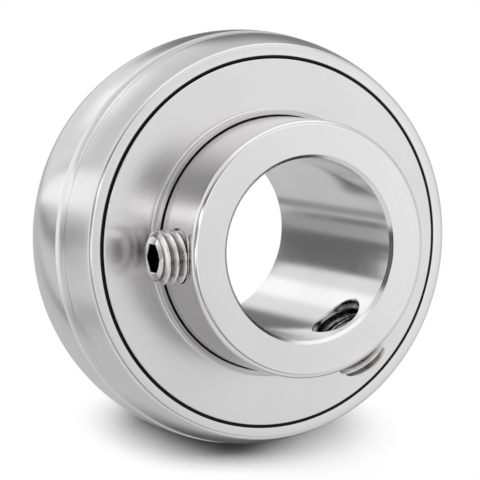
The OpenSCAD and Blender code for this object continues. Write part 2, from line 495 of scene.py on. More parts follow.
@cache
def lay_group() -> bpy.types.NodeTree:
    """Fine marks that run round Z, on faces and on cylinders alike.

    The marks are 4-D noise of (radius times density, height times density, cosine and sine of the angle
    times waves), so they are short across the lay and long round it.

    Returns:
        The group, which gives a height for Bump and a mask from 0 to 1.
    """
    group = EffectGroup(
        "lathe_lay",
        {"Density": (FLOAT, 8.0), "Waves": (FLOAT, 2.0), "Seed": (FLOAT, 0.0)},
        {"Height": FLOAT, "Mask": FLOAT},
    )
    n, source = group.nodes, group.source
    place = n.add("ShaderNodeTexCoord").outputs["Object"]
    xyz = n.add("ShaderNodeSeparateXYZ", {0: place}).outputs
    flat = n.vector("MULTIPLY", place, (1.0, 1.0, 0.0))
    radius = n.vector("LENGTH", flat, output="Value")
    round_z = n.add("ShaderNodeSeparateXYZ", {0: n.vector("NORMALIZE", flat)}).outputs
    per_metre = n.math("DIVIDE", source["Density"], MM)
    across = n.math("MULTIPLY_ADD", radius, per_metre, source["Seed"])
    up = n.math("MULTIPLY", xyz["Z"], per_metre)
    cos = n.math("MULTIPLY", round_z["X"], source["Waves"])
    sin = n.math("MULTIPLY", round_z["Y"], source["Waves"])
    spot = n.add("ShaderNodeCombineXYZ", {0: across, 1: up, 2: cos}).outputs[0]
    inputs = {"Vector": spot, "W": sin, "Scale": 1.0, "Detail": 2.0, "Roughness": 0.6}
    noise = n.add("ShaderNodeTexNoise", inputs, noise_dimensions="4D").outputs["Fac"]
    group.send("Height", noise)
    group.send("Mask", n.span(noise, *LAY_ENDS))
    return group.tree


@cache
def grain_group() -> bpy.types.NodeTree:
    """Fine isotropic grain and broad cloudiness, as noise of two sizes on Object coordinates.

    Returns:
        The group, which gives a height for Bump, a cloud mask and a fine mask, all from 0 to 1.
    """
    group = EffectGroup(
        "metal_grain",
        {"Grains per mm": (FLOAT, 12.0), "Clouds per mm": (FLOAT, 0.12)},
        {"Height": FLOAT, "Clouds": FLOAT, "Fine": FLOAT},
    )
    n, source = group.nodes, group.source
    place = n.add("ShaderNodeTexCoord").outputs["Object"]
    fine = n.noise(place, n.math("DIVIDE", source["Grains per mm"], MM), detail=3.0)
    broad = n.noise(place, n.math("DIVIDE", source["Clouds per mm"], MM), detail=2.0)
    group.send("Height", fine)
    group.send("Clouds", n.span(broad, *GRAIN_ENDS))
    group.send("Fine", n.span(fine, *GRAIN_ENDS))
    return group.tree


@cache
def wear_and_painted_shade_group() -> bpy.types.NodeTree:
    """Edges that handling has polished: they are a little brighter and smoother than the face beside them.

    Colour and roughness move towards their worn values by the piece's edge attribute times Amount. Where the
    attribute is below zero, the colour moves by its size towards Painted Shade Colour: painted shade in
    recesses, threads and gaps.

    Returns:
        The group.
    """
    group = EffectGroup(
        "polished_edges_and_painted_shade",
        {
            "Colour": (COLOUR, (0.7, 0.7, 0.7, 1.0)),
            "Roughness": (FLOAT, 0.3),
            "Worn Colour": (COLOUR, (0.9, 0.9, 0.9, 1.0)),
            "Worn Roughness": (FLOAT, 0.15),
            "Film Colour": (COLOUR, (0.03, 0.03, 0.03, 1.0)),
            "Amount": (FLOAT, 0.5),
        },
        {"Colour": COLOUR, "Roughness": FLOAT},
    )
    n, source = group.nodes, group.source
    signed = n.add("ShaderNodeAttribute", attribute_name=WEAR_AND_SHADE_ATTRIBUTE).outputs["Fac"]
    edge = n.math("MAXIMUM", signed, 0.0)
    # Painted shade: below zero the colour darkens towards Painted Shade Colour.
    deep = n.math("MAXIMUM", n.math("MULTIPLY", signed, -1.0), 0.0)
    share = n.math("MULTIPLY", edge, source["Amount"])
    polished = n.mix(share, source["Colour"], source["Worn Colour"])
    group.send("Colour", n.mix(deep, polished, source["Film Colour"]))
    worn = n.math("SUBTRACT", source["Worn Roughness"], source["Roughness"])
    group.send("Roughness", n.math("MULTIPLY_ADD", worn, share, source["Roughness"]))
    return group.tree


@cache
def softbox_group() -> bpy.types.NodeTree:
    """One light or flag of the studio, painted over what is behind it.

    Its mask is a smooth step on the cosine between the level direction and the light's own, times smooth
    steps on the direction's height above Low and below High.

    Returns:
        The group, which gives the brightness behind with the light painted over it.
    """
    group = EffectGroup(
        "softbox",
        {
            "Behind": (FLOAT, 0.0),
            "Level": (FLOAT, 1.0),
            "Heading": (VECTOR, (1.0, 0.0, 0.0)),
            "Outer Cosine": (FLOAT, 0.0),
            "Inner Cosine": (FLOAT, 1.0),
            "Low": (FLOAT, -1.0),
            "High": (FLOAT, 1.0),
            "Height Soft": (FLOAT, 0.1),
        },
        {"Brightness": FLOAT},
    )
    n, source = group.nodes, group.source
    ray = n.add("ShaderNodeTexCoord").outputs["Generated"]
    height = n.add("ShaderNodeSeparateXYZ", {0: n.vector("NORMALIZE", ray)}).outputs["Z"]
    level_ray = n.vector("NORMALIZE", n.vector("MULTIPLY", ray, (1.0, 1.0, 0.0)))
    cosine = n.vector("DOT_PRODUCT", level_ray, source["Heading"], output="Value")
    sideways = n.span(cosine, source["Outer Cosine"], source["Inner Cosine"])
    low, high = [
        [n.math(way, source[label], source["Height Soft"]) for way in ("SUBTRACT", "ADD")]
        for label in ("Low", "High")
    ]
    mask = n.math("MULTIPLY", sideways, n.band(height, low, high))
    gain = n.math("SUBTRACT", source["Level"], source["Behind"])
    group.send("Brightness", n.math("MULTIPLY_ADD", gain, mask, source["Behind"]))
    return group.tree


# Finishes


def colour(grey: float, red: float = 0.0, blue: float = 0.0) -> tuple[float, float, float, float]:
    """Returns a grey with its red and its blue raised by the given amounts, as an opaque colour."""
    return (grey + red, grey, grey + blue, 1.0)


@dataclass(frozen=True)
class SteelFinish:
    """Bare steel with a lay, a fine grain, cloudiness and polished edges.

    Args:
        name: The material's name.
        grey: Brightness of the steel's colour.
        red: How far its red is above that brightness.
        blue: How far its blue is above it.
        roughness: Roughness of the smoothest places.
        rough_range: How much rougher the clouds and the lay make other places.
        grain: How the surface was made.
        lay_depth: Bump distance of the lay in mm.
        grain_depth: Bump distance of the grain in mm.
        tint_range: How much darker the clouds make the colour.
        lay_tint: How much of that darkening the lay's marks have.
        wear: How much the edges are polished.
        worn_gain: How many times brighter a fully worn edge is.
        worn_limit: The brightest that it gets.
        worn_gloss: Its roughness as a share of the smoothest places'.
        across: How much wider the gloss spreads across the lay than along it, from 0 to 1.
        across_turn: The direction of that spread, in turns from the tangent.
        seed: Offset of the lay's pattern, so that pieces differ.
    """

    name: str
    grey: float = 0.8
    red: float = 0.010
    blue: float = 0.004
    roughness: float = 0.2
    rough_range: float = 0.06
    grain: Grain = Grain.TURNED
    lay_depth: float = 0.0006
    grain_depth: float = 0.0002
    tint_range: float = 0.04
    lay_tint: float = 0.35
    wear: float = 0.5
    worn_gain: float = 1.12
    worn_limit: float = 0.95
    worn_gloss: float = 0.6
    across: float = 0.0
    across_turn: float = 0.25
    seed: float = 0.0

    def shade(self, share: float) -> tuple[float, float, float, float]:
        """Returns the steel's colour with its brightness multiplied by share, up to worn_limit."""
        return colour(min(self.worn_limit, self.grey * share), self.red, self.blue)

    def material(self) -> bpy.types.Material:
        """Returns the material, made on first use."""
        if self.name in bpy.data.materials:
            return bpy.data.materials[self.name]
        made, n = new_material(self.name)
        density, waves = self.grain.value
        lay = n.group(lay_group(), Density=density, Waves=waves, Seed=self.seed).outputs
        grain = n.group(grain_group()).outputs
        dark = self.shade(1 - self.tint_range)
        tone = n.mix(grain["Clouds"], self.shade(1.0), dark)
        tone = n.mix(n.math("MULTIPLY", lay["Mask"], self.lay_tint), tone, dark)
        rough = n.math("MULTIPLY_ADD", grain["Clouds"], self.rough_range / 2, self.roughness)
        rough = n.math("MULTIPLY_ADD", lay["Mask"], self.rough_range / 2, rough)
        worn = n.group(
            wear_and_painted_shade_group(),
            Colour=tone,
            Roughness=rough,
            Worn_Colour=self.shade(self.worn_gain),
            Worn_Roughness=self.roughness * self.worn_gloss,
            Amount=self.wear,
        ).outputs
        grained = n.bump(grain["Height"], self.grain_depth)
        shader = n.add(
            "ShaderNodeBsdfPrincipled",
            {
                "Base Color": worn["Colour"],
                "Roughness": worn["Roughness"],
                "Metallic": 1.0,
                "Normal": n.bump(lay["Height"], self.lay_depth, Normal=grained),
                "Anisotropic": self.across,
                "Anisotropic Rotation": self.across_turn,
            },
        )
        n.surface(shader.outputs[0])
        made.diffuse_color = self.shade(1.0)
        return made


@dataclass(frozen=True)
class RubberFinish:
    """Black moulded rubber: matt, with a fine grain, faint dust and slightly shiny lips.

    Args:
        name: The material's name.
        grey: Brightness of the rubber's colour.
        dust_gain: How many times brighter the dustiest places are.
        roughness: Roughness of the smoothest places.
        rough_range: How much rougher the grain makes other places.
        wear: How much the lips are polished.
        worn_gain: How many times brighter a fully worn lip is.
        worn_gloss: Its roughness as a share of the smoothest places'.
        grains: Grains per mm.
        clouds: Clouds of dust per mm.
        grain_depth: Bump distance of the moulded grain in mm.
        grain_strength: How strongly that bump shows.
        shine: Level of the plain reflection.
    """

    name: str = "nitrile_rubber"
    grey: float = 0.004
    dust_gain: float = 1.6
    roughness: float = 0.55
    rough_range: float = 0.12
    wear: float = 0.5
    worn_gain: float = 1.5
    worn_gloss: float = 0.8
    grains: float = 9.0
    clouds: float = 0.3
    grain_depth: float = 0.01
    grain_strength: float = 0.6
    shine: float = 0.1

    def material(self) -> bpy.types.Material:
        """Returns the material, made on first use."""
        if self.name in bpy.data.materials:
            return bpy.data.materials[self.name]
        made, n = new_material(self.name)
        grain = n.group(grain_group(), Grains_per_mm=self.grains, Clouds_per_mm=self.clouds).outputs
        worn = n.group(
            wear_and_painted_shade_group(),
            Colour=n.mix(grain["Clouds"], colour(self.grey), colour(self.grey * self.dust_gain)),
            Roughness=n.math("MULTIPLY_ADD", grain["Fine"], self.rough_range, self.roughness),
            Worn_Colour=colour(self.grey * self.worn_gain),
            Worn_Roughness=self.roughness * self.worn_gloss,
            Amount=self.wear,
        ).outputs
        shader = n.add(
            "ShaderNodeBsdfPrincipled",
            {
                "Base Color": worn["Colour"],
                "Roughness": worn["Roughness"],
                "Normal": n.bump(grain["Height"], self.grain_depth, self.grain_strength),
                "Specular IOR Level": self.shine,
            },
        )
        n.surface(shader.outputs[0])
        made.diffuse_color = colour(self.grey)
        return made


OUTER_STEEL = SteelFinish(
    "ground_outer_steel", grey=0.80, roughness=0.17, grain=Grain.GROUND, lay_depth=0.001, across=0.4
)
INNER_STEEL = SteelFinish(
    "turned_inner_steel", grey=0.82, roughness=0.11, lay_depth=0.0008, wear=0.1, across=0.4, seed=3.7
)
DISC_STEEL = SteelFinish(
    "pressed_disc_steel", grey=0.80, roughness=0.25, lay_depth=0.0006, wear=0.3, across=0.45, seed=9.1
)
SCREW_STEEL = SteelFinish(
    "rolled_screw_steel", grey=0.88, red=0.014, blue=-0.004, roughness=0.13, tint_range=0.12,
    grain=Grain.ROLLED,
)
BALL_STEEL = SteelFinish(
    "polished_ball_steel", grey=0.86, roughness=0.05, rough_range=0.02, lay_depth=0.0, grain_depth=0.00002
)
CAGE_STEEL = SteelFinish("pressed_cage_steel", grey=0.66, roughness=0.36, grain=Grain.PRESSED, wear=0.3)
RIVET_STEEL = SteelFinish("headed_rivet_steel", grey=0.7, roughness=0.3, grain=Grain.ROLLED, wear=0.3)
RUBBER = RubberFinish()


def dress(piece: bpy.types.Object, finish: SteelFinish | RubberFinish) -> None:
    """Gives a piece its material.

    Args:
        piece: A new piece or a CAD node.
        finish: The finish to wear.
    """
    piece.data.materials.clear()
    piece.data.materials.append(finish.material())


def fit(piece: bpy.types.Object, body: str, node: str, finish: SteelFinish | RubberFinish) -> None:
    """Dresses a new piece, lets it ride on its body and hides the CAD node that it stands for.

    Args:
        piece: The new piece.
        body: The CAD body that carries it.
        node: The CAD node that it replaces.
        finish: The finish to wear.
    """
    dress(piece, finish)
    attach(piece, body)
    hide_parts(node)


# Pieces


@dataclass
class OuterRing:
    """The outer ring: a spherical outside with a grease groove, two seal seats and a ball track.

    Args:
        radius: Radius of the sphere.
        half_width: Half the ring's width.
        corner: Rounding from the sphere to the end faces.
        groove_z: Height of the groove's middle.
        groove_radius: Radius of the circle that cuts it.
        groove_centre: Distance of that circle's centre from the bore's axis.
        groove_edge: Rounding of the groove's edges.
        track_centre: Distance of the ball track's centre from the bore's axis.
        edge: Rounding of the other edges.
        low_parts: Parts of the sphere below the groove.
        groove_parts: Parts of the groove.
        high_parts: Parts of the sphere above it.
        corner_parts: Parts of each corner.
        track_parts: Parts of the ball track.
        columns: Points round the ring.
    """

    radius: float = 23.5
    half_width: float = 8.0
    corner: float = 0.5
    groove_z: float = 3.05
    groove_radius: float = 2.545
    groove_centre: float = 25.596
    groove_edge: float = 0.12
    track_centre: float = 16.599
    edge: float = 0.08
    low_parts: int = 34
    groove_parts: int = 18
    high_parts: int = 14
    corner_parts: int = 12
    track_parts: int = 24
    columns: int = 320

    def section(self) -> Array:
        """The ring's section, counter-clockwise from the back face.

        The groove's ends are where its circle crosses the outside's: for centres a distance d apart, they lie
        at a = (R^2 - r^2 + d^2) / 2d along the line between them and at +-sqrt(R^2 - a^2) beside it.

        Returns:
            Rows (r, z, rounding).
        """
        z0 = self.half_width - self.corner
        r0 = math.sqrt((self.radius - self.corner) ** 2 - z0 ** 2)
        end = math.degrees(math.atan2(z0, r0))
        apart = math.hypot(self.groove_centre, self.groove_z)
        middle = math.degrees(math.atan2(self.groove_z, self.groove_centre))
        along = (self.radius ** 2 - self.groove_radius ** 2 + apart ** 2) / (2 * apart)
        beside = math.sqrt(self.radius ** 2 - along ** 2)
        half = math.degrees(math.atan2(beside, along))
        open_half = math.degrees(math.atan2(beside, apart - along))
        centre = (self.groove_centre, self.groove_z)
        inwards = 180 + middle
        low = arc((0, 0), self.radius, -end, middle - half, self.low_parts)
        groove = arc(centre, self.groove_radius, inwards + open_half, inwards - open_half, self.groove_parts)
        high = arc((0, 0), self.radius, middle + half, end, self.high_parts)
        low[-1, 2] = high[0, 2] = self.groove_edge
        corner_low = arc((r0, -z0), self.corner, -90, -end, self.corner_parts)[:-1]
        corner_high = arc((r0, z0), self.corner, end, 90, self.corner_parts)[1:]
        snap, snap_top, e = SEAT_RADIUS + SEAT_SNAP, SEAT_Z + SNAP_HEIGHT, self.edge
        top = [
            [SEAT_RADIUS, self.half_width, e], [SEAT_RADIUS, snap_top, e],
            [snap, snap_top, e], [snap, SEAT_Z, e], [LAND_RADIUS, SEAT_Z, e],
        ]
        reach = math.degrees(math.acos((LAND_RADIUS - self.track_centre) / TRACK_RADIUS))
        track = arc((self.track_centre, 0), TRACK_RADIUS, reach, -reach, self.track_parts)
        track[0, 2] = track[-1, 2] = e
        bottom = [[r, -z, e] for r, z, e in reversed(top)]
        return np.concatenate([corner_low, low, groove[1:-1], high, corner_high, top, track, bottom])

    def build(self) -> None:
        """Builds, dresses and fits the ring."""
        piece = make_piece("outer_ring_ground", [revolve(rounded(self.section()), self.columns)])
        fit(piece, "outer", "outer_ring", OUTER_STEEL)


@dataclass
class Thread:
    """An M6 x 1 right-hand thread, as a share of full height from 0 at its root to 1 at its crest.

    Args:
        pitch: Distance between crests.
        crest: Half the flat width of a crest.
        root: Half the flat width of a root.
        roundness: How much of the flank is a smooth step, from 0 to 1.
    """

    pitch: float = 1.0
    crest: float = 0.07
    root: float = 0.11
    roundness: float = 0.5

    def height(self, x: Array, angle: Array) -> Array:
        """The height at a distance x along the axis and an angle about it.

        The distance from the nearest crest's line is that of x / pitch minus angle / full turn from a whole
        number. The flank between crest and root is straight, blended with a smooth step by roundness.

        Args:
            x: Distances along the screw's axis in mm.
            angle: Angles about it in radians, right-handed.

        Returns:
            Heights from 0 to 1.
        """
        phase = x / self.pitch - angle / FULL_TURN
        off = np.abs(phase - np.round(phase)) * self.pitch
        share = np.clip((self.pitch / 2 - self.root - off) / (self.pitch / 2 - self.root - self.crest), 0, 1)
        smooth = share * share * (3 - 2 * share)
        return share + (smooth - share) * self.roundness


@dataclass
class TappedHole:
    """A tapped hole through the inner ring's wall, as one ring-shaped grid.

    The grid starts on a rectangle of the ring's outside, closes in on the hole's mouth, runs down the
    threaded wall and opens on a rectangle of the bore. In the hole's own frame x points out of the ring along
    the hole, y along the ring's turn and z up. A point on a cylinder of radius R has x = sqrt(R^2 - y^2).

    Args:
        turn: The hole's angle in degrees.
        radius: Its radius in the thread's grooves.
        thread_depth: Depth of the thread at its full height.
        edge: Rounding of both mouths.
        fade: Length over which the thread grows to its full height.
        open_lead: Share of its full height that it keeps at the bore, where the screw passes.
        outer_half: Half the outside rectangle's width in degrees, with one column a degree.
        bore_half: The same for the bore's.
        bore_upright: Parts of the bore rectangle's upright sides.
        low: The rectangles' lower z.
        high: Their upper z.
        patch_rows: Parts from a rectangle to its mouth.
        mouth_parts: Parts of a mouth's rounding.
        wall_rows: Parts of the threaded wall.
        crest_painted_shade: How dark the painted shade is on the thread's crests, where its grooves have 1.
        painted_shade_lead: Length below the outer mouth over which the painted shade sets in.
        thread: The thread's form.
    """

    turn: float
    radius: float = 3.0
    thread_depth: float = 0.52
    edge: float = 0.1
    fade: float = 0.45
    open_lead: float = 0.05
    outer_half: int = 15
    bore_half: int = 22
    bore_upright: int = 20
    low: float = 9.65
    high: float = 16.4
    patch_rows: int = 8
    mouth_parts: int = 4
    wall_rows: int = 72
    crest_painted_shade: float = 0.45
    painted_shade_lead: float = 0.1
    thread: Thread = field(default_factory=Thread)

    @property
    def outer_upright(self) -> int:
        """Parts of the outside rectangle's upright sides, which make both rectangles' counts the same."""
        return self.bore_upright + 2 * (self.bore_half - self.outer_half)

    def frame_points(self, radius: float, half: int, upright: int) -> Array:
        """Points round a rectangle on a cylinder, counter-clockwise seen from outside.

        Args:
            radius: The cylinder's radius.
            half: Half the rectangle's width in degrees.
            upright: Parts of its upright sides.

        Returns:
            Rows (y, z).
        """
        y = radius * np.sin(np.radians(np.arange(-half, half + 1)))
        z = np.linspace(self.low, self.high, upright + 1)
        bottom = np.stack([y[:-1], np.full(2 * half, self.low)], axis=1)
        right = np.stack([np.full(upright, y[-1]), z[:-1]], axis=1)
        top = np.stack([y[:0:-1], np.full(2 * half, self.high)], axis=1)
        left = np.stack([np.full(upright, y[0]), z[:0:-1]], axis=1)
        return np.concatenate([bottom, right, top, left])

    def patch(self, radius: float, hole: float | Array, frame: Array, angle: Array) -> Array:
        """Rows from a rectangle to the hole's rounded mouth on a cylinder, straight in (y, z).

        Args:
            radius: The cylinder's radius.
            hole: The hole's radius there, one value or one a point.
            frame: The rectangle's points.
            angle: The angle about the hole's axis of each point of the mouth.

        Returns:
            Points (x, y, z) in the hole's frame, a row of them for each step inwards.
        """
        reach = hole + self.edge
        mouth = np.stack([reach * np.cos(angle), SCREW_Z + reach * np.sin(angle)], axis=1)
        share = np.linspace(0, 1, self.patch_rows + 1)[:, None, None]
        yz = frame[None] * (1 - share) + mouth[None] * share
        x = np.sqrt(radius ** 2 - yz[..., 0] ** 2)
        return np.concatenate([x[..., None], yz], axis=2)

    def mouth(self, radius: float, hole: float | Array, angle: Array, inwards: float) -> Array:
        """The rounding from a cylinder's surface into the hole.

        At a quarter-turn share a the hole's radius is grown by edge times (1 - sin a), and the point lies
        edge times (1 - cos a) below the surface.

        Args:
            radius: The cylinder's radius.
            hole: The hole's radius there, one value or one a point.
            angle: Angles about the hole's axis.
            inwards: -1 for the outside surface and 1 for the bore, the direction into the wall.

        Returns:
            Points in the hole's frame, from the surface to the wall.
        """
        a = np.radians(np.linspace(0, 90, self.mouth_parts + 1))[1:, None]
        reach = hole + self.edge * (1 - np.sin(a))
        y, z = reach * np.cos(angle)[None], SCREW_Z + reach * np.sin(angle)[None]
        x = np.sqrt(radius ** 2 - y ** 2) + inwards * self.edge * (1 - np.cos(a))
        return np.stack([x, y, z], axis=-1)

    def skin(self) -> Skin:
        """The hole with its two patches.

        The wall's radius is the hole's, less the thread's depth times its lead times (1 - height). The lead
        grows from 0 at the outer mouth and from open_lead at the bore's to 1, over the length of fade.

        Returns:
            The surface, turned to its place.
        """
        outer_frame = self.frame_points(INNER_OUTSIDE, self.outer_half, self.outer_upright)
        bore_frame = self.frame_points(BORE_RADIUS, self.bore_half, self.bore_upright)
        angle = np.unwrap(np.arctan2(outer_frame[:, 1] - SCREW_Z, outer_frame[:, 0]))
        outer = self.patch(INNER_OUTSIDE, self.radius, outer_frame, angle)
        outer_mouth = self.mouth(INNER_OUTSIDE, self.radius, angle, -1.0)
        end = np.sqrt(BORE_RADIUS ** 2 - (self.radius * np.cos(angle)) ** 2) + self.edge
        hole = self.radius - self.thread_depth * self.open_lead * (1 - self.thread.height(end, angle))
        bore = self.patch(BORE_RADIUS, hole, bore_frame, angle)[::-1]
        bore_mouth = self.mouth(BORE_RADIUS, hole, angle, 1.0)[::-1]
        first, last = outer_mouth[-1, :, 0][None], bore_mouth[0, :, 0][None]
        share = np.linspace(0, 1, self.wall_rows + 1)[1:-1, None]
        x = first * (1 - share) + last * share
        bore_lead = self.open_lead + (1 - self.open_lead) * np.clip((x - last) / self.fade, 0, 1)
        lead = np.minimum(np.clip((first - x) / self.fade, 0, 1), bore_lead)
        height = self.thread.height(x, angle[None])
        reach = self.radius - self.thread_depth * lead * (1 - height)
        wall = np.stack([x, reach * np.cos(angle)[None], SCREW_Z + reach * np.sin(angle)[None]], axis=-1)
        # Painted shade in the hole: the wall darkens, most in the thread's grooves, from just below the outer
        # mouth.
        painted_shade = self.crest_painted_shade + (1 - self.crest_painted_shade) * height
        painted_shade = painted_shade * np.clip((first - x) / self.painted_shade_lead, 0, 1)
        flat, rim = np.zeros(outer.shape[:2]), np.ones(outer_mouth.shape[:2])
        rows = np.concatenate([outer, outer_mouth, wall, bore_mouth, bore])
        made = loft(rows, np.concatenate([flat, rim, -painted_shade, rim, flat]))
        level = made.points * np.array([1.0, 1.0, 0.0])
        patched = flat.size
        made.normals[:patched] = unit(level[:patched])
        made.normals[-patched:] = -unit(level[-patched:])
        return made.turned(self.turn)


@dataclass
class InnerRing:
    """The inner ring: a ball track, chamfered ends and two tapped holes near its front end.

    Args:
        front: Height of its front end.
        end_chamfer: Chamfer round the outside of its back end.
        bore_chamfer: Chamfer of the bore at both ends.
        front_round: Rounding round the outside of its front end.
        edge: Rounding of the other edges.
        track_centre: Distance of the ball track's centre from the bore's axis.
        track_parts: Parts of the ball track.
        columns: Points round the ring, one a degree as on the holes' rectangles.
    """

    front: float = 17.3
    end_chamfer: float = 0.5
    bore_chamfer: float = 0.38
    front_round: float = 0.6
    edge: float = 0.07
    track_centre: float = 16.901
    track_parts: int = 24
    columns: int = 360

    def band(self, radius: float, upright: int, half: int, inward: bool) -> Skin:
        """A band of a cylinder at the holes' height, without the rectangles that the holes fill.

        Args:
            radius: The cylinder's radius.
            upright: The band's parts in z.
            half: Half a rectangle's width in columns.
            inward: Whether the cylinder is the bore.

        Returns:
            The band.
        """
        z = np.linspace(TappedHole.low, TappedHole.high, upright + 1)[:: -1 if inward else 1]
        section = np.stack([np.full_like(z, radius), z, np.zeros_like(z)], axis=1)
        first, second = (int(a) for a in SCREW_TURNS)
        gaps = [(first + half, second - half), (second + half, first - half + self.columns)]
        return revolve(section, self.columns, closed=False, arcs=gaps)

    def open_sections(self) -> list[Array]:
        """The front end's section and the rest of the ring's.

        Returns:
            Rows (r, z, rounding) of two open sections, counter-clockwise.
        """
        out, bore, back, e = INNER_OUTSIDE, BORE_RADIUS, NARROW_END, self.edge
        front = [
            [out, TappedHole.high, 0], [out, self.front, self.front_round],
            [bore + self.bore_chamfer, self.front, e],
            [bore, self.front - self.bore_chamfer, e / 2], [bore, TappedHole.high, 0],
        ]
        reach = math.degrees(math.acos((self.track_centre - out) / TRACK_RADIUS))
        track = arc((self.track_centre, 0), TRACK_RADIUS, 180 + reach, 180 - reach, self.track_parts)
        track[0, 2] = track[-1, 2] = e
        low = [
            [bore, TappedHole.low, 0], [bore, 0, 0], [bore, back + self.bore_chamfer, e],
            [bore + self.bore_chamfer, back, e], [out - self.end_chamfer, back, e],
            [out, back + self.end_chamfer, e],
        ]
        return [np.array(front, float), np.concatenate([low, track, [[out, TappedHole.low, 0]]])]

    def build(self) -> None:
        """Builds, dresses and fits the ring."""
        holes = [TappedHole(turn) for turn in SCREW_TURNS]
        skins = [revolve(rounded(s, closed=False), self.columns, closed=False) for s in self.open_sections()]
        skins.append(self.band(INNER_OUTSIDE, holes[0].outer_upright, TappedHole.outer_half, False))
        skins.append(self.band(BORE_RADIUS, TappedHole.bore_upright, TappedHole.bore_half, True))
        skins.extend(hole.skin() for hole in holes)
        fit(make_piece("inner_ring_tapped", skins), "inner", "inner_ring", INNER_STEEL)


@dataclass
class Seal:
    """A rubber seal: a bead snapped into the outer ring, a web and two lips.

    Args:
        side: The side of the bearing that it closes.
        run_radius: Radius of the surface that its lips run on.
        rim_inner: Inside of the rim that stands beside the disc.
        rim_top: Height of that rim over the bearing's middle.
        rim_edge: Rounding of its edges.
        body_top: Height of the rest.
        slope: Width of the slopes down to the web.
        web_low: Height of the web's lower face.
        web_top: Height of its upper face.
        lip_clear: Room between the lips and their surface.
        lip_width: Width of the part that carries the lips.
        lip_notch: Depth of the notch between them.
        lip_bevel: Bevel of the lips.
        edge: Rounding of the other edges.
        columns: Points round the seal.
    """

    side: Side
    run_radius: float
    rim_inner: float = 20.559
    rim_top: float = 7.95
    rim_edge: float = 0.075
    body_top: float = 7.3
    slope: float = 0.4
    web_low: float = 5.9
    web_top: float = 6.7
    lip_clear: float = 0.05
    lip_width: float = 0.7
    lip_notch: float = 0.45
    lip_bevel: float = 0.3
    edge: float = 0.05
    columns: int = 240

    def section(self) -> Array:
        """Returns the seal's section, counter-clockwise."""
        e, top, low = self.edge, self.body_top, SEAT_Z
        bead, snap_top = SEAT_RADIUS + SEAT_SNAP, SEAT_Z + SNAP_HEIGHT
        lip = self.run_radius + self.lip_clear
        root = lip + self.lip_width
        return np.array([
            [LAND_RADIUS, low, e], [bead, low, e], [bead, snap_top, e], [SEAT_RADIUS, snap_top, e],
            [SEAT_RADIUS, self.rim_top, self.rim_edge], [self.rim_inner, self.rim_top, self.rim_edge],
            [self.rim_inner, top, e], [LAND_RADIUS, top, e],
            [LAND_RADIUS - self.slope, self.web_top, e], [root + self.slope, self.web_top, e],
            [root, top, e], [lip + self.lip_bevel, top, e], [lip, top - self.lip_bevel, e],
            [lip + self.lip_notch, (low + top) / 2, e],
            [lip, low + self.lip_bevel, e], [lip + self.lip_bevel, low, e],
            [root, low, e], [root + self.slope, self.web_low, e], [LAND_RADIUS - self.slope, self.web_low, e],
        ])

    def build(self) -> None:
        """Builds, dresses and fits the seal."""
        name = f"seal_{self.side.name.lower()}"
        skin = revolve(rounded(self.section()), self.columns)
        if self.side is Side.BACK:
            skin = skin.flipped()
        fit(make_piece(f"{name}_moulded", [skin]), "outer", name, RUBBER)


